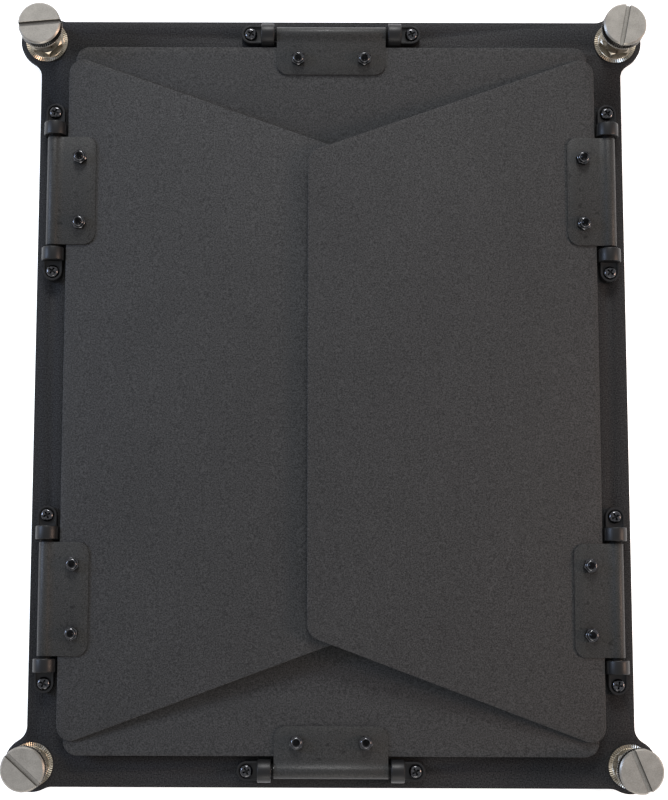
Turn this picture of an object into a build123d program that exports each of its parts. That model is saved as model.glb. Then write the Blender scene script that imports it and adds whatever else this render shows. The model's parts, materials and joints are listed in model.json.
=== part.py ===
from build123d import *
import os
from math import radians, tan

os.makedirs("parts", exist_ok=True)

# Folding four-leaf barn doors for a rectangular light panel.
# Origin: centre of the screw pattern, on the back face of the frame. +Z points away from the lamp.
# Every leaf is drawn on a hinge plane: x along the hinge line, y in over the window, z up.

# ---- Driving dimensions, in millimetres and degrees ----
# Frame
frame_width = 335.0
frame_height = 436.0
frame_thick = 3.0
frame_band = 24.0
window_corner_r = 6.0
ear_inset_x = 2.8
ear_inset_y = 12.1
ear_rim = 3.0
ear_fillet = 9.0

# Hinge lines
axis_inset = 9.5
axis_height = 6.0
side_hinge_inset = 102.6

# Hinge pin, spacers and pivot blocks
pin_r = 3.1
pin_edge = 0.25
pin_end_cover = 0.5
running_gap = 0.06
seat_gap = 0.02
end_play = 0.05
spacer_wall = 0.54
spacer_long = 1.4
knuckle_long = 7.5
knuckle_wall = 3.15
foot_rim = 1.05
foot_neck = 1.8
foot_high = 6.6
foot_edge = 0.8
recess_gap = 0.6
recess_deep = 1.2

# Hinge leaf
barrel_long = 62.5
barrel_wall = 1.0
plate_thick = 1.0
plate_top = 2.6
plate_reach = 24.2
plate_corner_r = 6.5
flank_r = 8.0
bolt_line = 15.3
bolt_pitch = 38.0

# Door sheets
door_thick = 1.0
door_corner_r = 8.5
door_slant = 20.4
side_door_inset = 22.0
side_knuckle_gap = 1.45
side_overlap = 14.0
end_door_inset = 17.25
end_knuckle_gap = 1.75
end_door_reach = 142.0
right_tilt = 4.9
left_tilt = 3.5
end_tilt = -2.5

# Pivot screws
pivot_screw_r = 2.0
pivot_head_r = 3.6
pivot_head_high = 2.4
pivot_tip_short = 0.3
cross_long = 4.2
cross_wide = 1.0
cross_deep = 1.3
screw_gap = 0.05
foot_hole_gap = 0.15

# Leaf bolts and lock nuts
bolt_r = 2.0
bolt_head_lip = 1.6
bolt_head_high = 2.2
bolt_stand = 0.8
nut_wall = 1.5
nut_hex_high = 3.2
nut_collar_high = 1.6
nut_collar_wall = 1.1

# Corner thumbscrews and the bushings that hold them
bushing_wall = 0.94
bushing_stand = 6.3
bushing_flange_lip = 2.0
bushing_flange_high = 1.0
lip_high = 1.5
washer_band = 6.0
washer_high = 1.2
serration_count = 36
serration_long = 2.4
serration_wide = 0.8
serration_deep = 0.35
hex_wall = 2.5
hex_high = 6.0
thread_r = 3.0
thread_edge = 0.5
stud_out = 6.0
neck_r = 2.38
shank_r = 5.0
shank_hold = 4.0
press_room = 9.5
head_r = 12.0
head_high = 9.5
head_edge = 0.9
slot_wide = 2.4
slot_deep = 2.6
slot_turns = {"top_left": 5.0, "top_right": 79.0, "bottom_left": -42.0, "bottom_right": 112.0}
thrust_high = 0.6
thrust_gap = 0.26
spring_gap = 0.86
spring_wire_r = 0.3
spring_turns = 5

# ---- Worked-out sizes ----
# Hinge lines
axis_z = frame_thick + axis_height
side_axis_x = frame_width / 2 - axis_inset
end_axis_y = frame_height / 2 - axis_inset
side_hinge_y = frame_height / 2 - side_hinge_inset
barrel_bore_r = pin_r + running_gap
barrel_r = barrel_bore_r + barrel_wall
plate_bottom = plate_top - plate_thick
sheet_bottom = plate_bottom - door_thick
spacer_r = barrel_bore_r + spacer_wall
knuckle_r = pin_r + knuckle_wall
knuckle_inner = barrel_long / 2 + spacer_long + 2 * end_play
knuckle_outer = knuckle_inner + knuckle_long
recess_r = pivot_head_r + recess_gap
foot_width = 2 * (recess_r + foot_rim)
foot_reach = recess_r + foot_neck
pivot_x = knuckle_outer + foot_reach
seat_z = frame_thick + foot_high - recess_deep

# Doors: length along the hinge line, then how far they start and end from it
side_door = (
    frame_height - 2 * side_door_inset,
    knuckle_r + side_knuckle_gap,
    side_axis_x + side_overlap,
)
end_door = (frame_width - 2 * end_door_inset, knuckle_r + end_knuckle_gap, end_door_reach)

# Corner hardware
bushing_bore_r = shank_r + running_gap
bushing_r = bushing_bore_r + bushing_wall
washer_r = bushing_r + washer_band
ear_r = washer_r + ear_rim
nut_seat = frame_thick + washer_high
bushing_top = nut_seat + hex_high + bushing_stand
shank_bottom = bushing_top - shank_hold
head_bottom = bushing_top + press_room
thrust_bottom = shank_bottom - end_play - thrust_high
spring_r = bushing_bore_r - spring_gap - spring_wire_r
screw_pitch_x = frame_width - 2 * ear_inset_x
screw_pitch_y = frame_height - 2 * ear_inset_y
corner_points = {
    "top_left": (-screw_pitch_x / 2, screw_pitch_y / 2),
    "top_right": (screw_pitch_x / 2, screw_pitch_y / 2),
    "bottom_left": (-screw_pitch_x / 2, -screw_pitch_y / 2),
    "bottom_right": (screw_pitch_x / 2, -screw_pitch_y / 2),
}


def hinge_plane(inward, reach):
    """The hinge line of one side, raised to the pin's height."""
    inward = Vector(*inward)
    base = inward * -reach + Vector(0, 0, axis_z)
    return Plane(origin=base, x_dir=inward.cross(Vector(0, 0, 1)), z_dir=(0, 0, 1))


# Each side: its hinge plane, its folded door's tilt, and where its hinges sit along it.
sides = {
    "right": hinge_plane((-1, 0, 0), side_axis_x),
    "left": hinge_plane((1, 0, 0), side_axis_x),
    "top": hinge_plane((0, -1, 0), end_axis_y),
    "bottom": hinge_plane((0, 1, 0), end_axis_y),
}
tilts = {"right": right_tilt, "left": left_tilt, "top": end_tilt, "bottom": end_tilt}
hinge_spots = {
    "right": {"upper": side_hinge_y, "lower": -side_hinge_y},
    "left": {"upper": -side_hinge_y, "lower": side_hinge_y},
    "top": {"middle": 0.0},
    "bottom": {"middle": 0.0},
}


def across(plane, along):
    """Section plane square to the hinge line: x over the window, y up, z along the line."""
    return Plane(origin=plane.from_local_coords((along, 0, 0)), x_dir=plane.y_dir, z_dir=plane.x_dir)


def leaf_plane(side):
    """The side's hinge plane, tilted to where its folded door lies."""
    flat = sides[side]
    normal = flat.z_dir.rotate(Axis((0, 0, 0), flat.x_dir), tilts[side])
    return Plane(origin=flat.origin, x_dir=flat.x_dir, z_dir=normal)


def save(piece, name):
    """Labels a finished piece and writes its file."""
    piece.part.label = name
    export_step(piece.part, f"parts/{name}.step")


def pivot_spots(side):
    """Pivot screw centres of one side, in its hinge plane."""
    return [(spot + end * pivot_x, 0) for spot in hinge_spots[side].values() for end in (-1, 1)]


def bolt_spots(side):
    """Leaf bolt centres of one side, in its door's plane."""
    pairs = [(spot, end) for spot in hinge_spots[side].values() for end in (-1, 1)]
    return [(spot + end * bolt_pitch / 2, bolt_line) for spot, end in pairs]


def on_side(vertex):
    """True where an ear's round meets a straight side of the frame."""
    return abs(vertex.X) < frame_width / 2 + seat_gap and abs(vertex.Y) < frame_height / 2 + seat_gap


# ---- Frame ----
with BuildPart() as frame:
    with BuildSketch():
        Rectangle(frame_width, frame_height)
        with Locations(*corner_points.values()):
            Circle(ear_r)
        fillet(vertices().filter_by(on_side), ear_fillet)
        with BuildSketch(mode=Mode.SUBTRACT):
            window_size = (frame_width - 2 * frame_band, frame_height - 2 * frame_band)
            RectangleRounded(*window_size, window_corner_r)
    extrude(amount=frame_thick)
    with BuildSketch():
        with Locations(*corner_points.values()):
            Circle(bushing_r + bushing_flange_lip + screw_gap)
    extrude(amount=bushing_flange_high, mode=Mode.SUBTRACT)
    with BuildSketch():
        with Locations(*corner_points.values()):
            Circle(bushing_r + screw_gap)
    extrude(amount=frame_thick, mode=Mode.SUBTRACT)
    for side, plane in sides.items():
        with BuildSketch(plane.offset(-axis_z)):
            with Locations(*pivot_spots(side)):
                Circle(pivot_screw_r + screw_gap)
        extrude(amount=frame_thick, mode=Mode.SUBTRACT)
save(frame, "frame")


# ---- Pivot blocks, pins and spacers ----
def pivot_block(side, spot, end):
    """A moulded block: an arched knuckle round the pin and a foot for its screw."""
    floor = sides[side].offset(-axis_height)
    middle = spot + end * (knuckle_inner + knuckle_long / 2)
    foot_middle = spot + end * (knuckle_outer + foot_reach / 2)
    screw = spot + end * pivot_x
    with BuildPart() as block:
        with BuildSketch(across(sides[side], middle)):
            Circle(knuckle_r)
            with Locations((0, -axis_height / 2)):
                Rectangle(2 * knuckle_r, axis_height)
            with Locations((0, -axis_height - knuckle_r)):
                Rectangle(2 * knuckle_r, 2 * knuckle_r, mode=Mode.SUBTRACT)
        extrude(amount=knuckle_long / 2, both=True)
        with BuildSketch(floor):
            with Locations((foot_middle, 0)):
                Rectangle(foot_reach, foot_width)
            with Locations((screw, 0)):
                Circle(foot_width / 2)
        extrude(amount=foot_high)
        rim = faces(Select.LAST).filter_by(Axis.Z).sort_by(Axis.Z)[-1]
        outer_rim = rim.edges().filter_by(GeomType.CIRCLE)
        chamfer(outer_rim, foot_edge)
        with BuildSketch(floor.offset(foot_high)):
            with Locations((screw, 0)):
                Circle(recess_r)
            with Locations((foot_middle, 0)):
                Rectangle(foot_reach, 2 * recess_r)
        extrude(amount=-recess_deep, mode=Mode.SUBTRACT)
        with BuildSketch(floor):
            with Locations((screw, 0)):
                Circle(pivot_screw_r + foot_hole_gap)
        extrude(amount=foot_high, mode=Mode.SUBTRACT)
        inner_face = spot + end * knuckle_inner
        with BuildSketch(across(sides[side], inner_face)):
            Circle(pin_r + seat_gap)
        extrude(amount=end * (knuckle_long - pin_end_cover), mode=Mode.SUBTRACT)
    return block


for side, spots in hinge_spots.items():
    for place, spot in spots.items():
        hinge_name = side if place == "middle" else f"{side}_{place}"
        for letter, end in (("a", -1), ("b", 1)):
            save(pivot_block(side, spot, end), f"pivot_block_{hinge_name}_{letter}")
        with BuildPart() as hinge_pin:
            with BuildSketch(across(sides[side], spot)):
                Circle(pin_r)
            extrude(amount=knuckle_outer - pin_end_cover - end_play, both=True)
            chamfer(edges().filter_by(GeomType.CIRCLE), pin_edge)
        save(hinge_pin, f"hinge_pin_{hinge_name}")

with BuildPart() as spacers:
    for side, spots in hinge_spots.items():
        for spot in spots.values():
            for end in (-1, 1):
                start = spot + end * (barrel_long / 2 + end_play)
                with BuildSketch(across(sides[side], start)):
                    Circle(spacer_r)
                    Circle(barrel_bore_r, mode=Mode.SUBTRACT)
                extrude(amount=end * spacer_long)
save(spacers, "hinge_spacers")


# ---- Pivot screws ----
for side, plane in sides.items():
    with BuildPart() as pivot_screws:
        with BuildSketch(plane.offset(seat_z - axis_z)):
            with Locations(*pivot_spots(side)):
                Circle(pivot_head_r)
        extrude(amount=pivot_head_high)
        head_tops = faces().filter_by(Axis.Z).sort_by(Axis.Z)[-len(pivot_spots(side)):]
        fillet(head_tops.edges(), pivot_head_high / 2)
        with BuildSketch(plane.offset(pivot_tip_short - axis_z)):
            with Locations(*pivot_spots(side)):
                Circle(pivot_screw_r)
        extrude(amount=seat_z - pivot_tip_short)
        with BuildSketch(plane.offset(seat_z + pivot_head_high - axis_z)):
            with Locations(*pivot_spots(side)):
                Rectangle(cross_long, cross_wide)
                Rectangle(cross_wide, cross_long)
        extrude(amount=-cross_deep, mode=Mode.SUBTRACT)
    save(pivot_screws, f"pivot_screws_{side}")


# ---- Doors ----
def door_sheet(side, long, start, reach):
    """A trapezoid sheet, bolted under its hinge leaves."""
    leaf = leaf_plane(side)
    half = long / 2
    free_half = half - (reach - start) * tan(radians(door_slant))
    with BuildPart() as door:
        with BuildSketch(leaf.offset(sheet_bottom)):
            with BuildLine():
                Polyline((-half, start), (half, start), (free_half, reach), (-free_half, reach), close=True)
            make_face()
            fillet(vertices(), door_corner_r)
            with Locations(*bolt_spots(side)):
                Circle(bolt_r + screw_gap, mode=Mode.SUBTRACT)
        extrude(amount=door_thick)
    return door


for side in ("right", "left"):
    save(door_sheet(side, *side_door), f"door_{side}")
for side in ("top", "bottom"):
    save(door_sheet(side, *end_door), f"door_{side}")


# ---- Hinge leaves ----
def hinge_leaf(side, spot):
    """A sheet rolled round the pin, with a concave flank down to a flat plate."""
    leaf = leaf_plane(side)
    with BuildPart() as hinge:
        with BuildSketch(across(leaf, spot)):
            with Locations((plate_reach / 4, (plate_top + plate_bottom) / 2)):
                Rectangle(plate_reach / 2, plate_thick)
            Circle(barrel_r)
            meeting_x = (barrel_r**2 - plate_top**2) ** 0.5
            meeting = vertices().sort_by_distance((meeting_x, plate_top, 0))[0]
            fillet(meeting, flank_r)
            Circle(barrel_bore_r, mode=Mode.SUBTRACT)
        extrude(amount=barrel_long / 2, both=True)
        with BuildSketch(leaf.offset(plate_bottom)):
            with Locations((spot, (plate_reach + barrel_r) / 2)):
                Rectangle(barrel_long, plate_reach - barrel_r)
            fillet(vertices().sort_by(Axis.Y)[-2:], plate_corner_r)
        extrude(amount=plate_thick)
        with BuildSketch(leaf.offset(plate_bottom)):
            with Locations((spot, bolt_line)):
                with GridLocations(bolt_pitch, 1, 2, 1):
                    Circle(bolt_r + screw_gap)
        extrude(amount=plate_thick, mode=Mode.SUBTRACT)
    return hinge


for side, spots in hinge_spots.items():
    for place, spot in spots.items():
        hinge_name = side if place == "middle" else f"{side}_{place}"
        save(hinge_leaf(side, spot), f"hinge_leaf_{hinge_name}")


# ---- Leaf bolts and lock nuts ----
for side in sides:
    leaf = leaf_plane(side)
    with BuildPart() as leaf_bolts:
        with BuildSketch(leaf.offset(sheet_bottom)):
            with Locations(*bolt_spots(side)):
                Circle(bolt_r + bolt_head_lip)
        extrude(amount=-bolt_head_high)
        low_faces = faces().sort_by(Axis(origin=leaf.origin, direction=leaf.z_dir))
        fillet(low_faces[: len(bolt_spots(side))].edges(), bolt_head_high / 2)
        with BuildSketch(leaf.offset(sheet_bottom)):
            with Locations(*bolt_spots(side)):
                Circle(bolt_r)
        extrude(amount=door_thick + plate_thick + nut_hex_high + nut_collar_high + bolt_stand)
    save(leaf_bolts, f"leaf_bolts_{side}")

    with BuildPart() as lock_nuts:
        with BuildSketch(leaf.offset(plate_top)):
            with Locations(*bolt_spots(side)):
                RegularPolygon(bolt_r + nut_wall, 6, major_radius=False)
                Circle(bolt_r + screw_gap, mode=Mode.SUBTRACT)
        extrude(amount=nut_hex_high)
        with BuildSketch(leaf.offset(plate_top + nut_hex_high)):
            with Locations(*bolt_spots(side)):
                Circle(bolt_r + nut_collar_wall)
                Circle(bolt_r + screw_gap, mode=Mode.SUBTRACT)
        extrude(amount=nut_collar_high)
    save(lock_nuts, f"lock_nuts_{side}")


# ---- Corner bushings, serrated washers and hex nuts ----
with BuildPart() as bushings:
    with BuildSketch():
        with Locations(*corner_points.values()):
            Circle(bushing_r + bushing_flange_lip)
    extrude(amount=bushing_flange_high)
    with BuildSketch():
        with Locations(*corner_points.values()):
            Circle(bushing_r)
    extrude(amount=bushing_top)
    with BuildSketch(Plane.XY.offset(lip_high)):
        with Locations(*corner_points.values()):
            Circle(bushing_bore_r)
    extrude(amount=bushing_top - lip_high, mode=Mode.SUBTRACT)
    with BuildSketch():
        with Locations(*corner_points.values()):
            Circle(neck_r + running_gap)
    extrude(amount=lip_high, mode=Mode.SUBTRACT)
save(bushings, "corner_bushings")

with BuildPart() as serrated_washers:
    with BuildSketch(Plane.XY.offset(frame_thick)):
        with Locations(*corner_points.values()):
            Circle(washer_r)
            Circle(bushing_r + screw_gap, mode=Mode.SUBTRACT)
    extrude(amount=washer_high)
    with BuildSketch(Plane.XY.offset(nut_seat)):
        with Locations(*corner_points.values()):
            with PolarLocations(washer_r - serration_long / 2, serration_count):
                Rectangle(serration_long + serration_wide, serration_wide)
    extrude(amount=-serration_deep, mode=Mode.SUBTRACT)
save(serrated_washers, "serrated_washers")

with BuildPart() as hex_nuts:
    with BuildSketch(Plane.XY.offset(nut_seat)):
        with Locations(*corner_points.values()):
            RegularPolygon(bushing_r + hex_wall, 6, major_radius=False)
            Circle(bushing_r + screw_gap, mode=Mode.SUBTRACT)
    extrude(amount=hex_high)
save(hex_nuts, "corner_hex_nuts")

# ---- Thumbscrews, thrust washers and springs ----
for corner, spot in corner_points.items():
    base = Plane(origin=(*spot, 0))
    with BuildPart() as thumbscrew:
        with BuildSketch(base.offset(-stud_out)):
            Circle(thread_r)
        extrude(amount=stud_out - end_play)
        chamfer(edges().sort_by(Axis.Z)[0], thread_edge)
        with BuildSketch(base.offset(-stud_out / 2)):
            Circle(neck_r)
        extrude(amount=stud_out / 2 + shank_bottom)
        with BuildSketch(base.offset(shank_bottom)):
            Circle(shank_r)
        extrude(amount=head_bottom - shank_bottom)
        with BuildSketch(base.offset(head_bottom)):
            Circle(head_r)
        extrude(amount=head_high)
        rounds = edges().filter_by(GeomType.CIRCLE)
        rims = rounds.filter_by(lambda edge: abs(edge.radius - head_r) < seat_gap)
        chamfer(rims, head_edge)
        with BuildSketch(base.offset(head_bottom + head_high)):
            Rectangle(2 * head_r, slot_wide, rotation=slot_turns[corner])
        extrude(amount=-slot_deep, mode=Mode.SUBTRACT)
    save(thumbscrew, f"thumbscrew_{corner}")

    with BuildPart() as thrust_washer:
        with BuildSketch(base.offset(thrust_bottom)):
            Circle(bushing_bore_r - thrust_gap)
            Circle(neck_r + running_gap, mode=Mode.SUBTRACT)
        extrude(amount=thrust_high)
    save(thrust_washer, f"thrust_washer_{corner}")

    spring_low = lip_high + spring_wire_r
    coil_high = thrust_bottom - spring_wire_r - spring_low
    with BuildPart() as spring:
        with BuildLine() as coil_line:
            Helix(coil_high / spring_turns, coil_high, spring_r, center=(*spot, spring_low))
        with BuildSketch(Plane(origin=coil_line.line @ 0, z_dir=coil_line.line % 0)):
            Circle(spring_wire_r)
        sweep()
    save(spring, f"spring_{corner}")
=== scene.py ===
import json
import math
import random

import bmesh
import bpy
from mathutils import Matrix, Vector

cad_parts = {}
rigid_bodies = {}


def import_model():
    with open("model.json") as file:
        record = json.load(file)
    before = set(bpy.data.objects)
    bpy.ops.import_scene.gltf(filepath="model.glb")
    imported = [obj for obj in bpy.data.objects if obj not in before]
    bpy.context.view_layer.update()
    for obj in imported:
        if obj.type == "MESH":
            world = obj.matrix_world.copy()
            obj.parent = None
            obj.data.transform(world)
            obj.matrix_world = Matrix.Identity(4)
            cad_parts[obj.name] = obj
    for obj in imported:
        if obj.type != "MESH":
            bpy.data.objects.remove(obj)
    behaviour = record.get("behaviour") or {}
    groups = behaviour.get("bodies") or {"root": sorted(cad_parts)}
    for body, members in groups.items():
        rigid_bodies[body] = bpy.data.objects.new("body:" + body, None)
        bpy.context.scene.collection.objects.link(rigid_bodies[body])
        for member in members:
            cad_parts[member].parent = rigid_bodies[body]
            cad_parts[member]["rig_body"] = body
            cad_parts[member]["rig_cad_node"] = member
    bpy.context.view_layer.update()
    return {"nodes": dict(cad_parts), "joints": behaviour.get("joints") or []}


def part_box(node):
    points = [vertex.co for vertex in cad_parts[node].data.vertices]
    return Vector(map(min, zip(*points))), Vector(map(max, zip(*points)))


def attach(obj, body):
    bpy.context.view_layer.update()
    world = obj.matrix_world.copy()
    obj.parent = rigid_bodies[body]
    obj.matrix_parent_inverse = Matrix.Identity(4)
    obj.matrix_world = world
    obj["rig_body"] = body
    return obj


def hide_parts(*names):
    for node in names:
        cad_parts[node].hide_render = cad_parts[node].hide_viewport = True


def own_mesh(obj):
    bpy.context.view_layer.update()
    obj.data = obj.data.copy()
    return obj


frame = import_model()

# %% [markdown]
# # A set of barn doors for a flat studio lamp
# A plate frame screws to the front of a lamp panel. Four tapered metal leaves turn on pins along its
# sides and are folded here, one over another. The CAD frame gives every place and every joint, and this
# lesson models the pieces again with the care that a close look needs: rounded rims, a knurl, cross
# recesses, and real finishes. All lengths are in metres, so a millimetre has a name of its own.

mm = 0.001
random.seed(7)

frame_low, frame_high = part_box("frame")
frame_top = frame_high.z
hinges = {}
for joint in frame["joints"]:
    if joint["name"].endswith("_door_hinge"):
        hinges[joint["name"].split("_")[0]] = joint
axis_z = hinges["right"]["pos_m"][2]
screws = {}
for corner in ("top_left", "top_right", "bottom_left", "bottom_right"):
    low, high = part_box(f"thumbscrew_{corner}")
    screws[corner] = (low + high) / 2
print("hinge lines", sorted(hinges), "pin height", round(axis_z / mm, 2), "mm")

# %% [markdown]
# ## Working by hand, in code
# Operators act on whatever is selected, so each helper clears the selection first. A face, an edge or a
# vertex is picked by a small test on its place and direction, which is what an eye and a mouse would do.


# %% Helpers for selecting, editing and settling a piece
def clear():
    if bpy.context.object and bpy.context.object.mode != "OBJECT":
        bpy.ops.object.mode_set(mode="OBJECT")
    bpy.ops.object.select_all(action="DESELECT")


def take(*pieces):
    """Selects these pieces alone and makes the first one active."""
    clear()
    for piece in pieces:
        piece.select_set(True)
    bpy.context.view_layer.objects.active = pieces[0]
    return pieces[0]


def settle(piece):
    """Puts the piece's place, turn and size into its mesh, so its object sits at the origin."""
    take(piece)
    bpy.ops.object.transform_apply(location=True, rotation=True, scale=True)
    return piece


def pick(piece, kind, test):
    """Opens edit mode with only the faces, edges or vertices that pass the test."""
    take(piece)
    bpy.ops.object.mode_set(mode="EDIT")
    bpy.ops.mesh.select_mode(type=kind)
    mesh = bmesh.from_edit_mesh(piece.data)
    mesh.normal_update()
    for parts in (mesh.verts, mesh.edges, mesh.faces):
        for part in parts:
            part.select = False
    chosen = 0
    if kind == "FACE":
        for face in mesh.faces:
            if test(face.calc_center_median(), face.normal):
                face.select_set(True)
                chosen += 1
    elif kind == "EDGE":
        for edge in mesh.edges:
            a, b = (v.co for v in edge.verts)
            if test((a + b) / 2, (b - a)):
                edge.select_set(True)
                chosen += 1
    else:
        for vert in mesh.verts:
            if test(vert.co, vert.normal):
                vert.select_set(True)
                chosen += 1
    mesh.select_flush_mode()
    bmesh.update_edit_mesh(piece.data)
    return chosen


def done():
    bpy.ops.object.mode_set(mode="OBJECT")


def finish_modifiers(piece):
    take(piece)
    for modifier in list(piece.modifiers):
        bpy.ops.object.modifier_apply(modifier=modifier.name)
    return piece


def soften(piece, width, angle=30, segments=2):
    """A small round on every edge sharper than the angle, as on any pressed or cast part."""
    bevel = piece.modifiers.new("rim", "BEVEL")
    bevel.width = width
    bevel.segments = segments
    bevel.limit_method = "ANGLE"
    bevel.angle_limit = math.radians(angle)
    bevel.harden_normals = False
    return finish_modifiers(piece)


def cut(piece, cutter, operation="DIFFERENCE"):
    """Cuts, joins or keeps what is common with another solid, then throws that solid away."""
    boolean = piece.modifiers.new("cut", "BOOLEAN")
    boolean.operation = operation
    boolean.object = cutter
    boolean.solver = "EXACT"
    finish_modifiers(piece)
    bpy.data.objects.remove(cutter)
    return piece


def smooth(piece, angle=35):
    take(piece)
    bpy.ops.object.shade_smooth_by_angle(angle=math.radians(angle))
    return piece


def lay_along_x(piece, place=(0, 0, 0)):
    """Lays down a piece that was built along Z."""
    piece.rotation_euler = (0, math.pi / 2, 0)
    piece.location = place
    return settle(piece)


def anywhere(_place, _direction):
    """The test that every vertex, edge or face passes."""
    return True


def cylinder(name, radius, low, high, sides=64, at=(0, 0)):
    clear()
    middle = (at[0], at[1], (low + high) / 2)
    bpy.ops.mesh.primitive_cylinder_add(vertices=sides, radius=radius, depth=high - low, location=middle)
    bpy.context.object.name = name
    return settle(bpy.context.object)


def block(name, size, middle):
    clear()
    bpy.ops.mesh.primitive_cube_add(size=1, location=middle)
    bpy.context.object.name = name
    bpy.context.object.scale = size
    return settle(bpy.context.object)


def ring_hole(piece, radius, low, high, at=(0, 0), sides=64):
    return cut(piece, cylinder("hole", radius, low, high, sides, at))


def copy_to(piece, name, place):
    """A copy with its own mesh, moved by a matrix that then goes into the mesh."""
    take(piece)
    bpy.ops.object.duplicate(linked=False)
    made = bpy.context.object
    made.name = name
    made.data.name = name
    made.matrix_world = place @ made.matrix_world
    return settle(made)


def join(pieces, name):
    first = take(*pieces)
    if len(pieces) > 1:
        bpy.ops.object.join()
    first.name = name
    first.data.name = name
    return first


# %% [markdown]
# ## Finishes
# Each material is named for how the real surface is made. The black sheet parts are powder coated: a
# plastic powder is baked on and shrinks into a fine orange-peel grain, about a millimetre across, that
# scatters light and looks charcoal rather than black. The moulded blocks are smoother and catch a soft
# highlight. The screws are glossy, and the thumbscrews are nickel plated with faint turning marks.


# %% Colour and node helpers
def colour(hex_value):
    """An sRGB hex colour as the linear values that a shader wants."""
    channels = [int(hex_value[i : i + 2], 16) / 255 for i in (1, 3, 5)]
    linear = [c / 12.92 if c <= 0.04045 else ((c + 0.055) / 1.055) ** 2.4 for c in channels]
    return (*linear, 1.0)


def node(tree, kind, links=None, **settings):
    """Adds one node, sets its properties and sockets, and links its inputs."""
    made = tree.nodes.new(kind)
    for key, value in settings.items():
        if hasattr(made, key):
            setattr(made, key, value)
        else:
            made.inputs[key].default_value = value
    for socket, source in (links or {}).items():
        tree.links.new(source, made.inputs[socket])
    return made


def new_material(name, base, roughness, metallic=0.0, specular=0.5):
    material = bpy.data.materials.new(name)
    material.use_nodes = True
    shader = material.node_tree.nodes["Principled BSDF"]
    shader.inputs["Base Color"].default_value = colour(base)
    shader.inputs["Roughness"].default_value = roughness
    shader.inputs["Metallic"].default_value = metallic
    shader.inputs["Specular IOR Level"].default_value = specular
    return material, material.node_tree, shader


def ramp(tree, source, stops):
    made = tree.nodes.new("ShaderNodeValToRGB")
    tree.links.new(source, made.inputs["Fac"])
    while len(made.color_ramp.elements) < len(stops):
        made.color_ramp.elements.new(0.5)
    for element, (place, value) in zip(made.color_ramp.elements, stops):
        element.position = place
        element.color = colour(value) if isinstance(value, str) else (value, value, value, 1)
    return made


# %% Powder coat: pale specks on charcoal, with faint clouding or small scuffs
cloud_size = 40 * mm
scuff_size = 3.5 * mm


def powder_coat(name, dark, light, grain_size, bump_high, roughness, specular=0.22, scuffs=False):
    """grain_size is the width of one baked grain. The pale specks are the tops of the grains."""
    material, tree, shader = new_material(name, dark, roughness, specular=specular)
    place = node(tree, "ShaderNodeTexCoord").outputs["Object"]
    grain = node(
        tree, "ShaderNodeTexNoise", {"Vector": place}, Scale=1 / grain_size, Detail=5.0, Roughness=0.72
    )
    tone = ramp(tree, grain.outputs["Fac"], [(0.4, dark), (0.66, light)])
    if scuffs:
        rub = node(tree, "ShaderNodeTexNoise", {"Vector": place}, Scale=1 / scuff_size, Detail=1.0)
        patch = ramp(tree, rub.outputs["Fac"], [(0.27, 0.45), (0.31, 1.0)])
    else:
        cloud = node(tree, "ShaderNodeTexNoise", {"Vector": place}, Scale=1 / cloud_size, Detail=2.0)
        patch = ramp(tree, cloud.outputs["Fac"], [(0.3, 0.9), (0.7, 1.0)])
    mixed = node(tree, "ShaderNodeMix", data_type="RGBA", blend_type="MULTIPLY")
    mixed.inputs["Factor"].default_value = 1.0
    tree.links.new(tone.outputs["Color"], mixed.inputs[6])
    tree.links.new(patch.outputs["Color"], mixed.inputs[7])
    tree.links.new(mixed.outputs[2], shader.inputs["Base Color"])
    gloss = ramp(tree, grain.outputs["Fac"], [(0.35, roughness + 0.12), (0.65, roughness - 0.12)])
    tree.links.new(gloss.outputs["Color"], shader.inputs["Roughness"])
    bump = node(tree, "ShaderNodeBump", {"Height": grain.outputs["Fac"]}, Distance=bump_high, Strength=0.8)
    tree.links.new(bump.outputs["Normal"], shader.inputs["Normal"])
    return material


# Coarse polyester powder on the doors: dull, grainy, and charcoal rather than black.
coat = powder_coat("powder_coated_steel_sheet", "#161616", "#3b3b3b", 0.75 * mm, 0.06 * mm, 0.6)
# The same powder over a thicker plate, given a darker colour as painted shade, since the plate lies lower
# and reads as the darkest surface.
frame_coat_shaded = powder_coat("powder_coated_frame_plate_shaded", "#080809", "#343435", 0.75 * mm, 0.06 * mm, 0.6, 0.14)
# A thinner coat on the small rolled parts: finer grain, a soft sheen, and small rubbed marks.
leaf_coat = powder_coat(
    "powder_coated_hinge_leaf", "#131312", "#363635", 0.6 * mm, 0.04 * mm, 0.46, scuffs=True
)
print("coats made")


# %% Moulded, plated and oxide finishes
def moulded(name, base, roughness, specular=0.3):
    """Glass-filled nylon: nearly even, with a fine mould texture that breaks the highlight."""
    material, tree, shader = new_material(name, base, roughness, specular=specular)
    place = node(tree, "ShaderNodeTexCoord").outputs["Object"]
    grain = node(tree, "ShaderNodeTexNoise", {"Vector": place}, Scale=1 / (0.5 * mm), Detail=2.0)
    gloss = ramp(tree, grain.outputs["Fac"], [(0.3, roughness + 0.06), (0.7, roughness - 0.06)])
    tree.links.new(gloss.outputs["Color"], shader.inputs["Roughness"])
    bump = node(tree, "ShaderNodeBump", {"Height": grain.outputs["Fac"]}, Distance=0.02 * mm, Strength=0.4)
    tree.links.new(bump.outputs["Normal"], shader.inputs["Normal"])
    return material


def paint_wall_shade(tree, shader, tone, dark):
    """Darkens a tone where the surface stands steeper than flat. This is painted shade: walls, knurls
    and grooves are darkened for how steeply they stand, and it is what makes the teeth read one by one."""
    normal = node(tree, "ShaderNodeNewGeometry").outputs["Normal"]
    upright = node(tree, "ShaderNodeSeparateXYZ", {0: normal}).outputs["Z"]
    shade = ramp(tree, upright, [(0.3, dark), (0.95, "#ffffff")])
    mixed = node(
        tree, "ShaderNodeMix", {6: tone, 7: shade.outputs["Color"]}, data_type="RGBA", blend_type="MULTIPLY"
    )
    mixed.inputs[0].default_value = 1.0
    tree.links.new(mixed.outputs[2], shader.inputs["Base Color"])


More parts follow.
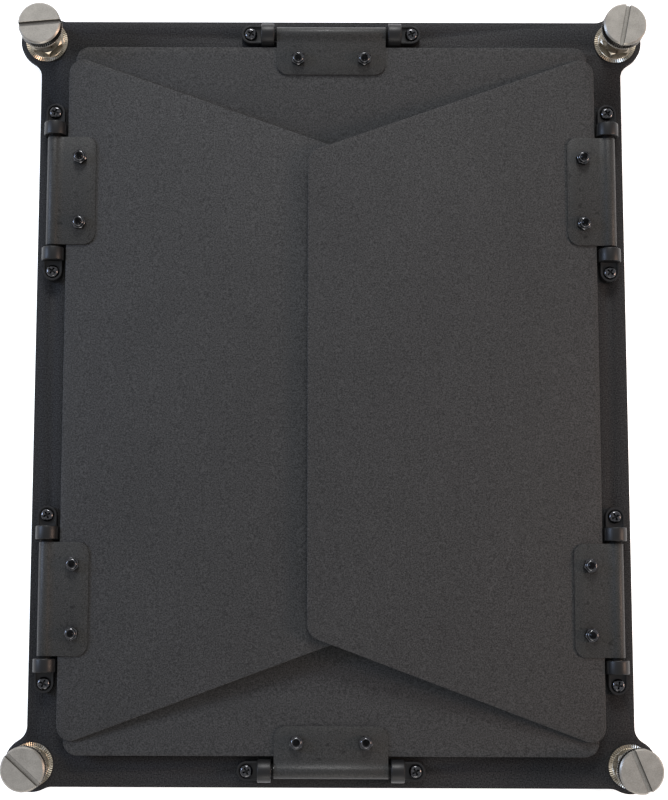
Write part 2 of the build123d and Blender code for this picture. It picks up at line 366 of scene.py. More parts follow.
def metal(name, base, worn, roughness, grain_size, bump_high, walls=None):
    """A metal whose tone and polish drift a little between two colours."""
    material, tree, shader = new_material(name, base, roughness, 1.0)
    place = node(tree, "ShaderNodeTexCoord").outputs["Object"]
    grain = node(tree, "ShaderNodeTexNoise", {"Vector": place}, Scale=1 / grain_size, Detail=4.0)
    tone = ramp(tree, grain.outputs["Fac"], [(0.35, base), (0.65, worn)])
    # When walls is given, the steep faces get painted shade.
    if walls:
        paint_wall_shade(tree, shader, tone.outputs["Color"], walls)
    else:
        tree.links.new(tone.outputs["Color"], shader.inputs["Base Color"])
    gloss = ramp(tree, grain.outputs["Fac"], [(0.3, roughness + 0.06), (0.7, roughness - 0.05)])
    tree.links.new(gloss.outputs["Color"], shader.inputs["Roughness"])
    bump = node(tree, "ShaderNodeBump", {"Height": grain.outputs["Fac"]}, Distance=bump_high, Strength=0.5)
    tree.links.new(bump.outputs["Normal"], shader.inputs["Normal"])
    return material


def turned_nickel(name, base, worn, walls, centre, ring_gap):
    """Nickel over a turned face: rings about each knob's centre. Folding x and y by their sign brings
    the four knobs, which stand the same way out from the middle, onto one pattern. The wave texture
    repeats every 2 pi / 20 of a unit, so its scale is worked out from the gap between two rings."""
    material, tree, shader = new_material(name, base, 0.36, 1.0)
    place = node(tree, "ShaderNodeTexCoord").outputs["Object"]
    folded = node(tree, "ShaderNodeVectorMath", {0: place}, operation="ABSOLUTE")
    centred = node(tree, "ShaderNodeVectorMath", {0: folded.outputs[0]}, operation="SUBTRACT")
    centred.inputs[1].default_value = (centre.x, centre.y, 0)
    rings = node(
        tree, "ShaderNodeTexWave", {"Vector": centred.outputs[0]},
        wave_type="RINGS", rings_direction="Z", Distortion=1.2, Detail=2.0,
    )
    rings.inputs["Scale"].default_value = 2 * math.pi / 20 / ring_gap
    rings.inputs["Detail Scale"].default_value = 3.0
    speck = node(
        tree, "ShaderNodeTexNoise", {"Vector": place}, Scale=1 / (0.7 * mm), Detail=3.0, Roughness=0.7
    )
    blotch = node(tree, "ShaderNodeTexNoise", {"Vector": place}, Scale=1 / (6 * mm), Detail=2.0)
    mix = node(tree, "ShaderNodeMix", {"A": speck.outputs["Fac"], "B": blotch.outputs["Fac"]}, Factor=0.35)
    tone = ramp(tree, mix.outputs[0], [(0.34, base), (0.66, worn)])
    # Painted shade on the knurl and the slot walls, which stand steeper than the face.
    paint_wall_shade(tree, shader, tone.outputs["Color"], walls)
    gloss = ramp(tree, speck.outputs["Fac"], [(0.3, 0.44), (0.7, 0.3)])
    tree.links.new(gloss.outputs["Color"], shader.inputs["Roughness"])
    high = node(tree, "ShaderNodeMath", {0: rings.outputs["Fac"], 1: speck.outputs["Fac"]}, operation="ADD")
    bump = node(tree, "ShaderNodeBump", {"Height": high.outputs[0]}, Distance=0.008 * mm, Strength=0.5)
    tree.links.new(bump.outputs["Normal"], shader.inputs["Normal"])
    return material


# Glass-filled nylon straight from the mould: black, with a soft broad highlight.
block_black = moulded("moulded_black_nylon", "#0a0a0b", 0.44)
# Turned acetal: waxy and nearly without a highlight, so the gaps at the pins stay dark.
washer_black = moulded("black_acetal", "#040404", 0.7, 0.1)
# Satin nickel over turned steel: warm grey, with faint rings drawn coarse enough to show.
# Painted shade darkens its knurl and the walls of its slot.
nickel = turned_nickel(
    "turned_satin_nickel", "#8f8b84", "#b2ada5", "#75736f", screws["top_right"], 0.5 * mm
)
# Bright zinc plate: pale and slightly yellow, with sharp reflections on every facet.
# Painted shade darkens its upright walls and the sides of its serrations.
zinc = metal("bright_zinc_plate", "#c8c0b1", "#b2aa9b", 0.3, 2.5 * mm, 0.01 * mm, walls="#8e897f")
# Black zinc on the pivot screws: dark and glossy, so the dome and the cross catch small glints.
screw_black = metal("gloss_black_zinc", "#5a5a5c", "#343436", 0.14, 0.7 * mm, 0.01 * mm)
# Oiled black oxide on the nuts: polished edges that ring each nut with light.
# Painted shade darkens the sides of each nut.
oxide = metal("black_oxide_steel", "#626264", "#4c4c4e", 0.17, 2.5 * mm, 0.003 * mm, walls="#777777")
# A darker copy of the same oxide on the sheared bolt ends, as painted shade that keeps them the dark centre
# of each nut.
bolt_oxide_shaded = metal("black_oxide_bolt", "#1d1d1e", "#141415", 0.22, 2.5 * mm, 0.003 * mm)
# Centreless-ground pin stock: an even, slightly hazy grey.
pin_steel = metal("ground_steel", "#8f8f90", "#77777a", 0.3, 0.4 * mm, 0.01 * mm)
# Hard-drawn wire: bright along the coil, with fine drawing marks.
spring_wire = metal("drawn_spring_wire", "#a8a8a6", "#8c8c8a", 0.3, 0.4 * mm, 0.01 * mm)
print("metals and plastics made")


def paint(piece, material):
    piece.data.materials.clear()
    piece.data.materials.append(material)
    for face in piece.data.polygons:
        face.material_index = 0
    return piece


# %% [markdown]
# ## Hinge planes
# Each leaf is easiest to model in its own frame: x along the hinge line, y in over the window, z up from
# the pin. A matrix then carries the finished piece to its side. The folded door lies at a small angle,
# which is read from the CAD door's own box.


# %% Where each side's hinge plane stands, and how far its folded door leans
def side_frame(side, lean=0.0):
    """The matrix from a hinge plane to the object, leaning by an angle about the pin."""
    joint = hinges[side]
    along = Vector(joint["axis"])
    up = Vector((0, 0, 1))
    inward = up.cross(along)
    turn = Matrix((along, inward, up)).transposed().to_4x4()
    return Matrix.Translation(joint["pos_m"]) @ turn @ Matrix.Rotation(lean, 4, "X")


def measure_lean(side):
    """The lean is the slope from the hinge side of the CAD door to its free edge."""
    to_plane = side_frame(side).inverted()
    points = [to_plane @ v.co for v in frame["nodes"][f"door_{side}"].data.vertices]
    near = min(points, key=lambda p: (round(p.y / mm, 3), p.z))
    far = max(points, key=lambda p: p.y)
    lowest_far = min((p for p in points if far.y - p.y < 1 * mm), key=lambda p: p.z)
    return math.atan2(lowest_far.z - near.z, lowest_far.y - near.y)


leans = {side: measure_lean(side) for side in hinges}
print("leans in degrees", {side: round(math.degrees(a), 2) for side, a in leans.items()})

# %% [markdown]
# ## The frame plate
# The real frame is one sheet cut by laser, so its outline and holes are exact and its edges are only
# slightly rounded by deburring and powder. The CAD plate already has that outline. A copy of it is
# merged into one clean mesh, its flat faces are dissolved, and a fine bevel gives the edges their glint.


# %% A clean copy of a CAD piece
def clean_copy(name, node_name):
    take(frame["nodes"][node_name])
    bpy.ops.object.duplicate(linked=False)
    made = bpy.context.object
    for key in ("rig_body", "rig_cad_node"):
        if key in made:
            del made[key]
    made.parent = None
    made.name = name
    made.data.name = name
    bpy.ops.object.mode_set(mode="EDIT")
    bpy.ops.mesh.select_all(action="SELECT")
    bpy.ops.mesh.remove_doubles(threshold=0.002 * mm)
    bpy.ops.mesh.dissolve_limited(angle_limit=math.radians(1))
    bpy.ops.object.mode_set(mode="OBJECT")
    return made


plate = clean_copy("frame_plate", "frame")
soften(plate, 0.3 * mm, 40, 2)
smooth(plate, 30)
paint(plate, frame_coat_shaded)
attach(plate, "frame_body")
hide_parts("frame")
print("frame plate", len(plate.data.polygons), "faces")

# %% [markdown]
# ## The doors
# Each door starts as a plane, its free edge is scaled in to make the taper, its corners are rounded by
# bevelling the four vertices, and Solidify gives it the thickness of the sheet. A fine rim bevel is what
# lets the edge catch the light as a thin line.

# %% Door sizes
sheet_thick = 1.0 * mm
sheet_low = 0.6 * mm
corner_round = 8.5 * mm
taper = math.radians(20.4)
bolt_line = 15.3 * mm
bolt_pitch = 38.0 * mm
door_sizes = {
    "right": (392.0 * mm, 7.7 * mm, 172.0 * mm),
    "left": (392.0 * mm, 7.7 * mm, 172.0 * mm),
    "top": (300.5 * mm, 8.0 * mm, 142.0 * mm),
    "bottom": (300.5 * mm, 8.0 * mm, 142.0 * mm),
}


# %% Doors
def door_sheet(name, long, start, reach):
    clear()
    deep = reach - start
    bpy.ops.mesh.primitive_plane_add(size=1, location=(0, (start + reach) / 2, sheet_low))
    door = bpy.context.object
    door.name = name
    door.scale = (long, deep, 1)
    settle(door)
    pick(door, "VERT", lambda place, _: place.y > reach - mm)
    free = (long - 2 * deep * math.tan(taper)) / long
    bpy.ops.transform.resize(value=(free, 1, 1))
    done()
    for end, inner in ((start, math.pi / 2 - taper), (reach, math.pi / 2 + taper)):
        pick(door, "VERT", lambda place, _: abs(place.y - end) < 0.1 * mm)
        bpy.ops.mesh.bevel(offset=corner_round / math.tan(inner / 2), segments=14, affect="VERTICES")
        done()
    solid = door.modifiers.new("sheet", "SOLIDIFY")
    solid.thickness = sheet_thick
    solid.offset = 1
    finish_modifiers(door)
    soften(door, 0.25 * mm, 40, 3)
    return smooth(door, 40)


for side, sizes in door_sizes.items():
    local = door_sheet(f"{side}_sheet", *sizes)
    door = copy_to(local, f"{side}_door", side_frame(side, leans[side]))
    bpy.data.objects.remove(local)
    paint(door, coat)
    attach(door, f"{side}_leaf")
    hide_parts(f"door_{side}")
print("doors made")

# %% [markdown]
# ## The hinge leaves
# A hinge leaf is a strip rolled round its pin. The roll stands above the flat and runs down to it in a
# smooth hollow. It is built from three solids that are joined: the roll, the flat with two rounded
# corners, and a fillet block whose top is scooped out by a large cylinder.

# %% Hinge leaf sizes
bore_r = 3.16 * mm
roll_r = 4.16 * mm
roll_long = 62.5 * mm
flat_top = 2.6 * mm
flat_thick = 1.0 * mm
flat_reach = 24.2 * mm
flat_round = 6.5 * mm
hollow_r = 8.0 * mm
# Which way along its side's line each hinge stands
spots = {
    "right": {"upper": 1, "lower": -1},
    "left": {"upper": -1, "lower": 1},
    "top": {"": 0},
    "bottom": {"": 0},
}
side_hinge = 115.4 * mm


# %% One hinge leaf, about its pin
def hinge_leaf():
    flat_middle = flat_top - flat_thick / 2
    flat = block("flat", (roll_long, flat_reach, flat_thick), (0, flat_reach / 2, flat_middle))
    pick(flat, "EDGE", lambda place, along: abs(along.z) > mm / 2 and place.y > flat_reach - mm)
    bpy.ops.mesh.bevel(offset=flat_round, segments=12, affect="EDGES")
    done()
    roll = lay_along_x(cylinder("roll", roll_r, -roll_long / 2, roll_long / 2, 96))
    hollow_z = flat_top + hollow_r
    hollow_y = math.sqrt((roll_r + hollow_r) ** 2 - hollow_z**2)
    touch = roll_r / (roll_r + hollow_r)
    low_y, high_z = hollow_y * touch, hollow_z * touch
    size = (roll_long, hollow_y - low_y, high_z - flat_middle)
    fill = block("fill", size, (0, (hollow_y + low_y) / 2, (high_z + flat_middle) / 2))
    scoop = lay_along_x(cylinder("scoop", hollow_r, -roll_long, roll_long, 256), (0, hollow_y, hollow_z))
    cut(fill, scoop)
    cut(flat, fill, "UNION")
    cut(flat, roll, "UNION")
    cut(flat, lay_along_x(cylinder("bore", bore_r, -roll_long, roll_long, 64)))
    pick(flat, "VERT", anywhere)
    bpy.ops.mesh.remove_doubles(threshold=0.01 * mm)
    bpy.ops.mesh.dissolve_limited(angle_limit=math.radians(0.5))
    bpy.ops.mesh.normals_make_consistent(inside=False)
    done()
    soften(flat, 0.22 * mm, 50, 2)
    return smooth(flat, 30)


def hinge_names(side):
    """The name of each hinge on a side, and how far along the side's line it stands."""
    return {f"{side}_{place}" if place else side: way * side_hinge for place, way in spots[side].items()}


pattern = hinge_leaf()
for side in hinges:
    for hinge, along in hinge_names(side).items():
        place = side_frame(side, leans[side]) @ Matrix.Translation((along, 0, 0))
        leaf = copy_to(pattern, f"{hinge}_hinge_leaf", place)
        paint(leaf, leaf_coat)
        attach(leaf, f"{side}_leaf")
        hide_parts(f"hinge_leaf_{hinge}")
bpy.data.objects.remove(pattern)
print("hinge leaves made")

# %% [markdown]
# ## The pivot blocks
# Each pin is held at both ends by a moulded block: an arch over the pin and a foot with a raised rim
# round its screw. The foot is a box and a round joined together, the shallow recess is cut out of it, and
# one soft bevel over the whole block gives the rounded edges that a mould leaves.

# %% Pivot block sizes
axis_high = axis_z - frame_top
arch_r = 6.25 * mm
arch_long = 7.5 * mm
arch_inner = 65.5 / 2 * mm
arch_outer = arch_inner + arch_long
arch_middle = (arch_inner + arch_outer) / 2
foot_reach = 6.0 * mm
foot_half = 5.25 * mm
foot_hole_r = 2.15 * mm
foot_high = 6.6 * mm
recess_r = 4.2 * mm
recess_deep = 1.2 * mm
screw_x = arch_outer + foot_reach
pin_r = 3.1 * mm
pin_end_cover = 0.5 * mm
press_fit = 0.02 * mm
floor_z = -axis_high
rim_z = floor_z + foot_high
seat_z = rim_z - recess_deep


# %% One pivot block, on the +x end of its pin
def u_shape(name, half, low, high, start, end):
    """A bar from start to the screw's place with a half-round end."""
    bar = block(name, (end - start, 2 * half, high - low), ((start + end) / 2, 0, (low + high) / 2))
    nose = cylinder("nose", half, low, high, 64, (end, 0))
    return cut(bar, nose, "UNION")


def pivot_block():
    foot = u_shape("foot", foot_half, floor_z, rim_z, arch_inner + mm, screw_x)
    cut(foot, u_shape("recess", recess_r, seat_z, rim_z + mm, arch_outer, screw_x))
    soften(foot, 0.35 * mm, 40, 3)
    arch = lay_along_x(cylinder("arch", arch_r, arch_inner, arch_outer, 96))
    legs = block("legs", (arch_long, 2 * arch_r, axis_high), (arch_middle, 0, floor_z / 2))
    cut(arch, legs, "UNION")
    below = block("below", (2 * arch_long, 4 * arch_r, arch_r), (arch_middle, 0, floor_z - arch_r / 2))
    cut(arch, below)
    pick(arch, "VERT", anywhere)
    bpy.ops.mesh.dissolve_limited(angle_limit=math.radians(0.5))
    done()
    soften(arch, 0.5 * mm, 50, 3)
    cut(foot, arch, "UNION")
    bore = cylinder("bore", pin_r + press_fit, arch_inner - mm, arch_outer - pin_end_cover, 64)
    cut(foot, lay_along_x(bore))
    ring_hole(foot, foot_hole_r, floor_z - mm, seat_z + mm, (screw_x, 0))
    return smooth(foot, 35)


pattern = pivot_block()
turn_round = Matrix.Rotation(math.pi, 4, "Z")
for side in hinges:
    for hinge, along in hinge_names(side).items():
        for letter, turn in (("a", turn_round), ("b", Matrix.Identity(4))):
            place = side_frame(side) @ Matrix.Translation((along, 0, 0)) @ turn
            piece = copy_to(pattern, f"{hinge}_pivot_block_{letter}", place)
            paint(piece, block_black)
            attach(piece, "frame_body")
            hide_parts(f"pivot_block_{hinge}_{letter}")
bpy.data.objects.remove(pattern)
print("pivot blocks made")

# %% [markdown]
# ## Pivot screws
# A pan-head screw with a cross recess. The head is a short cylinder whose rim is bevelled until it is a
# low dome. The recess is cut by two crossed wedges, narrower at the bottom, as a driver's tip is.

# %% Pivot screw
head_r = 3.6 * mm
head_high = 2.4 * mm
shank_r = 2.0 * mm
shank_end = floor_z - (frame_top - 0.3 * mm)


def wedge(name, long, wide, top, deep):
    """A bar that tapers to its bottom, for one arm pair of a cross recess."""
    bar = block(name, (long, wide, deep), (0, 0, top - deep / 2))
    pick(bar, "FACE", lambda _, normal: normal.z < -0.9)
    bpy.ops.transform.resize(value=(0.45, 0.7, 1))
    done()
    return bar


def pivot_screw():
    head = cylinder("head", head_r, seat_z, seat_z + head_high, 64)
    pick(head, "EDGE", lambda place, _: place.z > seat_z + head_high - 0.01 * mm)
    bpy.ops.mesh.bevel(offset=1.7 * mm, offset_type="OFFSET", segments=8, affect="EDGES")
    done()
    for turn in (0, math.pi / 2):
        arm = wedge("arm", 4.4 * mm, 1.0 * mm, seat_z + head_high + 0.2 * mm, 1.8 * mm)
        arm.rotation_euler = (0, 0, turn + math.radians(20))
        settle(arm)
        cut(head, arm)
    shank = cylinder("shank", shank_r, shank_end, seat_z + 0.2 * mm, 48)
    pick(shank, "EDGE", lambda place, _: place.z < shank_end + 0.01 * mm)
    bpy.ops.mesh.bevel(offset=0.4 * mm, segments=1, affect="EDGES")
    done()
    cut(head, shank, "UNION")
    return smooth(head, 30)


pattern = pivot_screw()
for side in hinges:
    made = []
    for hinge, along in hinge_names(side).items():
        for way in (-1, 1):
            turn = Matrix.Rotation(random.uniform(0, math.pi / 2), 4, "Z")
            place = side_frame(side) @ Matrix.Translation((along + way * screw_x, 0, 0)) @ turn
            made.append(copy_to(pattern, f"{hinge}_screw", place))
    screws_piece = join(made, f"{side}_pivot_screws")
    paint(screws_piece, screw_black)
    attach(screws_piece, "frame_body")
    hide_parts(f"pivot_screws_{side}")
bpy.data.objects.remove(pattern)
print("pivot screws made")

# %% [markdown]
# ## Lock nuts and bolts
# A lock nut is a hexagon with a round collar on top that holds a nylon ring. The corners of the hexagon
# are turned off on a lathe, which leaves an arc on each flat: the prism is kept only where a bevelled
# round also is. The bolt's end stands out of the collar.

# %% Lock nut and bolt
nut_flats = 7.0 * mm
nut_hex = 3.2 * mm
collar_r = 3.1 * mm
collar_high = 1.6 * mm
bolt_r = 2.0 * mm
nut_top = flat_top + nut_hex + collar_high
bolt_top = nut_top + 0.8 * mm


def rounded_bar(name, radius, low, high, edge, segments, sides=64):
    """A turned bar with its top rim rounded."""
    bar = cylinder(name, radius, low, high, sides)
    pick(bar, "EDGE", lambda place, _: abs(place.z - high) < 0.01 * mm)
    bpy.ops.mesh.bevel(offset=edge, segments=segments, affect="EDGES")
    done()
    return bar


def hexagon(name, flats, low, high, edge):
    """A hexagon prism of this width across its flats, with its top corners turned off."""
    corner = flats / 2 / math.cos(math.pi / 6)
    prism = cylinder(name, corner, low, high, 6)
    turned = rounded_bar("turned", corner * 0.995, low - edge, high, edge, 1, 96)
    return cut(prism, turned, "INTERSECT")


def lock_nut():
    nut = hexagon("nut", nut_flats, flat_top, flat_top + nut_hex, 0.6 * mm)
    collar = rounded_bar("collar", collar_r, flat_top + nut_hex - 0.3 * mm, nut_top, 0.9 * mm, 5)
    cut(nut, collar, "UNION")
    ring_hole(nut, bolt_r + 0.45 * mm, nut_top - 0.5 * mm, nut_top + mm)
    ring_hole(nut, bolt_r + 0.02 * mm, flat_top - mm, nut_top + mm)
    return smooth(nut, 30)


def leaf_bolt():
    bolt = rounded_bar("bolt", bolt_r, sheet_low - 0.2 * mm, bolt_top, 0.5 * mm, 1, 48)
    for step in range(3):
        thread_z = nut_top + (0.05 + 0.2 * step) * mm
        pick(bolt, "VERT", anywhere)
        bpy.ops.mesh.bisect(plane_co=(0, 0, thread_z), plane_no=(0, 0, 1))
        done()
    pick(bolt, "VERT", lambda place, _: abs(place.z - nut_top - 0.25 * mm) < 0.01 * mm)
    bpy.ops.transform.resize(value=(0.88, 0.88, 1))
    done()
    head_low = sheet_low - 2.2 * mm
    head = cylinder("head", 3.6 * mm, head_low, sheet_low, 64)
    pick(head, "EDGE", lambda place, _: place.z < head_low + 0.01 * mm)
    bpy.ops.mesh.bevel(offset=1.4 * mm, segments=6, affect="EDGES")
    done()
    socket = cylinder("socket", 1.44 * mm, head_low - mm, head_low + 1.2 * mm, 6)
    cut(head, socket)
    cut(head, bolt, "UNION")
    return smooth(head, 30)


nut_pattern, bolt_pattern = lock_nut(), leaf_bolt()
for side in hinges:
    nuts, bolts = [], []
    for hinge, along in hinge_names(side).items():
        for way in (-1, 1):
            turn = Matrix.Rotation(random.uniform(0, math.pi / 3), 4, "Z")
            spot = Matrix.Translation((along + way * bolt_pitch / 2, bolt_line, 0))
            place = side_frame(side, leans[side]) @ spot @ turn
            nuts.append(copy_to(nut_pattern, f"{hinge}_nut", place))
            bolts.append(copy_to(bolt_pattern, f"{hinge}_bolt", place))
    for made, kind, finish in ((nuts, "lock_nuts", oxide), (bolts, "leaf_bolts", bolt_oxide_shaded)):
        piece = join(made, f"{side}_{kind}")
        paint(piece, finish)
        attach(piece, f"{side}_leaf")
        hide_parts(f"{kind}_{side}")
bpy.data.objects.remove(nut_pattern)
bpy.data.objects.remove(bolt_pattern)
print("nuts and bolts made")

# %% [markdown]
# ## Thumbscrews
# The head is turned from bar, knurled straight along its rim, chamfered and slotted. The knurl is real
# shape: the rim has two sides for each tooth, and every second edge is drawn in. The slot is sawn right
# across. Its stem slides in a bushing that a hexagon nut and a serrated washer hold to the ear.

# %% Thumbscrew sizes, read from the CAD piece
screw_low, screw_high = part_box("thumbscrew_top_left")
knob_top = screw_high.z
knob_r = (screw_high.x - screw_low.x) / 2
knob_high = 9.5 * mm
knob_low = knob_top - knob_high
knob_teeth = 64
tooth_deep = 0.045
chamfer = 0.9 * mm
slot_wide = 2.4 * mm
slot_deep = 2.6 * mm
stem_r = 5.0 * mm
neck_r = 2.38 * mm
stem_low = 12.5 * mm
thread_r = 3.0 * mm
stud_low = screw_low.z
slot_turns = {"top_left": 5.0, "top_right": 79.0, "bottom_left": -42.0, "bottom_right": 112.0}


# %% One thumbscrew, on the Z axis
def draw_in(share, level):
    """Moves what is picked towards the Z axis by a share of its distance."""
    bpy.ops.transform.resize(value=(1 - share, 1 - share, 1), center_override=(0, 0, level))


def knob():
    sides = 2 * knob_teeth
    head = cylinder("knob", knob_r, knob_low, knob_top, sides)
    for end in (knob_low, knob_top):
        pick(head, "EDGE", lambda place, _: abs(place.z - end) < 0.01 * mm)
        bpy.ops.mesh.bevel(offset=chamfer, segments=1, affect="EDGES")
        done()
    band = (knob_low + chamfer + 0.2 * mm, knob_top - chamfer - 0.9 * mm)
    for level in (band[0], band[0] + 0.3 * mm, band[1] - 0.3 * mm, band[1]):
        pick(head, "VERT", anywhere)
        bpy.ops.mesh.bisect(plane_co=(0, 0, level), plane_no=(0, 0, 1))
        done()
    step = 2 * math.pi / sides

    def valley(place, _):
        inside = band[0] + 0.1 * mm < place.z < band[1] - 0.1 * mm
        return inside and round(math.atan2(place.y, place.x) / step) % 2 == 1

    print("knurl vertices", pick(head, "VERT", valley))
    draw_in(tooth_deep, sum(band) / 2)
    done()
    saw = block("saw", (4 * knob_r, slot_wide, slot_deep * 2), (0, 0, knob_top))
    cut(head, saw)

    def slot_rim(place, _):
        beside = abs(abs(place.y) - slot_wide / 2) < 0.01 * mm
        return beside and abs(place.z - knob_top) < 0.01 * mm

    pick(head, "EDGE", slot_rim)
    bpy.ops.mesh.bevel(offset=0.15 * mm, segments=1, affect="EDGES")
    done()
    return head


def threaded_bar(name, radius, low, high, pitch, deep, sides=48):
    """A bar with rings cut along it, which read as a thread."""
    bar = cylinder(name, radius, low, high, sides)
    turns = int((high - low) / pitch)
    for turn in range(1, 2 * turns):
        pick(bar, "VERT", anywhere)
        bpy.ops.mesh.bisect(plane_co=(0, 0, low + turn * pitch / 2), plane_no=(0, 0, 1))
        done()

    def root(place, _):
        step = (place.z - low) / (pitch / 2)
        return abs(step - round(step)) < 0.05 and round(step) % 2 == 0

    pick(bar, "VERT", root)
    draw_in(deep, (low + high) / 2)
    done()
    return bar


def thumbscrew():
    head = knob()
    stem = cylinder("stem", stem_r, stem_low, knob_low + 0.5 * mm, 64)
    neck = cylinder("neck", neck_r, stud_low / 2, stem_low + 0.5 * mm, 48)
    stud = threaded_bar("stud", thread_r, stud_low, -0.05 * mm, 1.0 * mm, 0.15)
    cut(neck, stud, "UNION")
    cut(stem, neck, "UNION")
    cut(head, stem, "UNION")
    return smooth(head, 30)


pattern = thumbscrew()
for corner, spot in screws.items():
    turn = Matrix.Rotation(math.radians(slot_turns[corner]), 4, "Z")
    piece = copy_to(pattern, f"{corner}_thumbscrew", Matrix.Translation((spot.x, spot.y, 0)) @ turn)
    paint(piece, nickel)
    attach(piece, f"{corner}_thumbscrew")
    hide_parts(f"thumbscrew_{corner}")
bpy.data.objects.remove(pattern)
print("thumbscrews made")

# %% [markdown]
# ## Bushings, nuts and washers
# A turned bushing passes through each ear, and a hexagon nut holds it down over a washer. The washer's
# serrations are real shape too: its rim has two sides for each tooth, and every second line across its
# outer band is pressed down, so the teeth run out to the rim as sharp rays.

# %% Bushings, hexagon nuts and serrated washers
bushing_low, bushing_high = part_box("corner_bushings")
washer_low, washer_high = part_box("serrated_washers")
hex_low, hex_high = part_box("corner_hex_nuts")
bushing_r = 6.0 * mm
bushing_bore = 5.06 * mm
flange_r = 8.0 * mm
flange_high = 1.0 * mm
lip_high = 1.5 * mm
hex_flats = 17.0 * mm
nut_gap = 0.05 * mm
washer_r = 12.0 * mm
serrations = 60
serration_band = 2.0 * mm
serration_deep = 0.5 * mm


def bushing():
    bar = rounded_bar("bushing", bushing_r, 0.5 * mm, bushing_high.z, 0.5 * mm, 3)
    flange = cylinder("flange", flange_r, 0, flange_high, 96)
    cut(bar, flange, "UNION")
    ring_hole(bar, bushing_bore, lip_high, bushing_high.z + mm)
    ring_hole(bar, neck_r + 0.06 * mm, -mm, 2 * mm)
    return smooth(bar, 30)


def serrated_washer():
    low, high = washer_low.z, washer_high.z
    sides = 2 * serrations
    disc = cylinder("washer", washer_r, low, high, sides)
    pick(disc, "FACE", lambda _, normal: normal.z > 0.9)
    bpy.ops.mesh.inset(thickness=serration_band)
    done()
    pick(disc, "FACE", lambda place, normal: normal.z > 0.9 and place.xy.length < mm)
    bpy.ops.mesh.inset(thickness=0.3 * mm)
    done()
    step = 2 * math.pi / sides

    def valley(place, _):
        outer = place.z > high - 0.01 * mm and place.xy.length > washer_r - serration_band - 0.1 * mm
        return outer and round(math.atan2(place.y, place.x) / step) % 2 == 1

    print("serration vertices", pick(disc, "VERT", valley))
    bpy.ops.transform.translate(value=(0, 0, -serration_deep))
    done()
    ring_hole(disc, bushing_r + nut_gap, low - mm, high + mm)
    return smooth(disc, 20)


def hex_nut():
    nut = hexagon("nut", hex_flats, hex_low.z, hex_high.z, 1.0 * mm)
    ring_hole(nut, bushing_r + nut_gap, hex_low.z - mm, hex_high.z + mm)
    return smooth(nut, 30)


hex_turns = {"top_left": 12.0, "top_right": 38.0, "bottom_left": 25.0, "bottom_right": 50.0}
for make, name, node_name, material in (
    (bushing, "turned_bushings", "corner_bushings", zinc),
    (serrated_washer, "washers", "serrated_washers", zinc),
    (hex_nut, "hexagon_nuts", "corner_hex_nuts", zinc),
):
    pattern = make()
    made = []
    for corner, spot in screws.items():
        turn = Matrix.Rotation(math.radians(hex_turns[corner]), 4, "Z")
        made.append(copy_to(pattern, f"{corner}_{name}", Matrix.Translation((spot.x, spot.y, 0)) @ turn))
    bpy.data.objects.remove(pattern)
    piece = join(made, f"corner_{name}")
    paint(piece, material)
    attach(piece, "frame_body")
    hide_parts(node_name)
print("corner hardware made")

# %% [markdown]
# ## Springs
# A spring can't ride on one body: its foot stays in the bushing while its top follows the thumbscrew.
# Each is a copy of the CAD coil with a mesh of its own, and it rides on the frame's body: nothing
# here shortens it as its screw is pressed.

# %% Springs copied from the CAD coils
for corner, spot in screws.items():
    node_name, press = f"spring_{corner}", f"{corner}_press"
    piece = clean_copy(f"{corner}_spring", node_name)
    smooth(piece, 40)
    paint(piece, spring_wire)
    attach(piece, "frame_body")
    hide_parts(node_name)
    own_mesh(piece)

# %% [markdown]
# ## Pieces that keep their CAD shape
# Pins, spacers and thrust washers are plain turned parts, mostly hidden, so their CAD shapes stay and
# only get their finish.

# %% Finishes for the CAD pieces that stay
for name, piece in frame["nodes"].items():
    if name.startswith("hinge_pin"):
        paint(piece, pin_steel)
    elif name == "hinge_spacers" or name.startswith("thrust_washer"):
        paint(piece, washer_black)

# %% [markdown]
# ## Floor, light and camera
# A plain near-white floor, a broad soft light above, a cooler one from the left and a warmer one from the
# right. The camera looks almost straight down from a little below the middle.


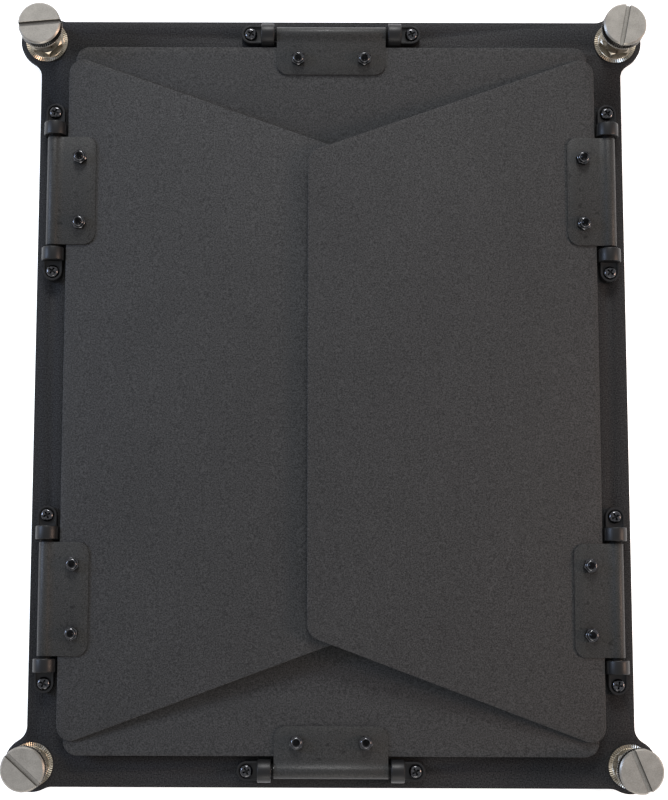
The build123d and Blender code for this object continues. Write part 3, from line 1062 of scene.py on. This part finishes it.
# %% Stage
def lamp(name, place, aim, size, power, tint):
    light = bpy.data.lights.new(name, "AREA")
    light.shape = "SQUARE"
    light.size = size
    light.energy = power
    light.color = colour(tint)[:3]
    holder = bpy.data.objects.new(name, light)
    bpy.context.scene.collection.objects.link(holder)
    holder.location = place
    holder.rotation_euler = (Vector(aim) - Vector(place)).to_track_quat("-Z", "Y").to_euler()
    return holder


# White paper that glows a little, so that it stays pure white right up to the frame.
floor_paint, _, floor_shader = new_material("white_studio_floor", "#fbfbfb", 0.9)
floor_shader.inputs["Emission Color"].default_value = colour("#ffffff")
floor_shader.inputs["Emission Strength"].default_value = 0.5
clear()
# The floor is just below the studs, because the right door leans back past flat when it is open.
bpy.ops.mesh.primitive_plane_add(size=60, location=(0, 0, stud_low - 2 * mm))
floor = bpy.context.object
floor.name = "studio_floor"
floor.data.materials.append(floor_paint)

# A wide lamp high beyond the upper edge, a cool and a warm one at the sides, and a weak fill below.
middle = (0, 0, 0)
lamp("soft_top", (0.0, 2.8, 2.0), middle, 0.95, 95, "#ffffff")
lamp("cool_left", (-1.5, 0.3, 0.8), middle, 0.45, 16, "#c4daff")
lamp("warm_right", (1.5, -0.1, 0.8), middle, 0.45, 15, "#ffd8c0")
lamp("low_fill", (0.1, -1.5, 0.7), middle, 0.8, 7, "#fff8f0")

world = bpy.context.scene.world or bpy.data.worlds.new("studio")
bpy.context.scene.world = world
world.use_nodes = True
world.node_tree.nodes["Background"].inputs["Color"].default_value = colour("#f4f6fa")
world.node_tree.nodes["Background"].inputs["Strength"].default_value = 0.72
# The Standard transform keeps hex colours as they are, where a film-like one would lift the blacks.
bpy.context.scene.view_settings.view_transform = "Standard"

# %% Camera
camera_data = bpy.data.cameras.new("camera")
camera = bpy.data.objects.new("camera", camera_data)
bpy.context.scene.collection.objects.link(camera)
bpy.context.scene.camera = camera
camera_data.lens = 76.5
camera_data.sensor_width = 36
camera_data.shift_x = 0.055
# The camera stands nearly a metre above the set, off towards its lower edge, tilted to face its middle.
camera_place = Matrix.Translation((-19.9 * mm, -124.3 * mm, 955.9 * mm))
tilt, sway, roll = (math.radians(a) for a in (-7.235, -0.187, -0.177))
view_turn = Matrix.Rotation(roll, 3, "Z") @ Matrix.Rotation(sway, 3, "Y") @ Matrix.Rotation(tilt, 3, "X")
camera.matrix_world = camera_place @ view_turn.transposed().to_4x4()
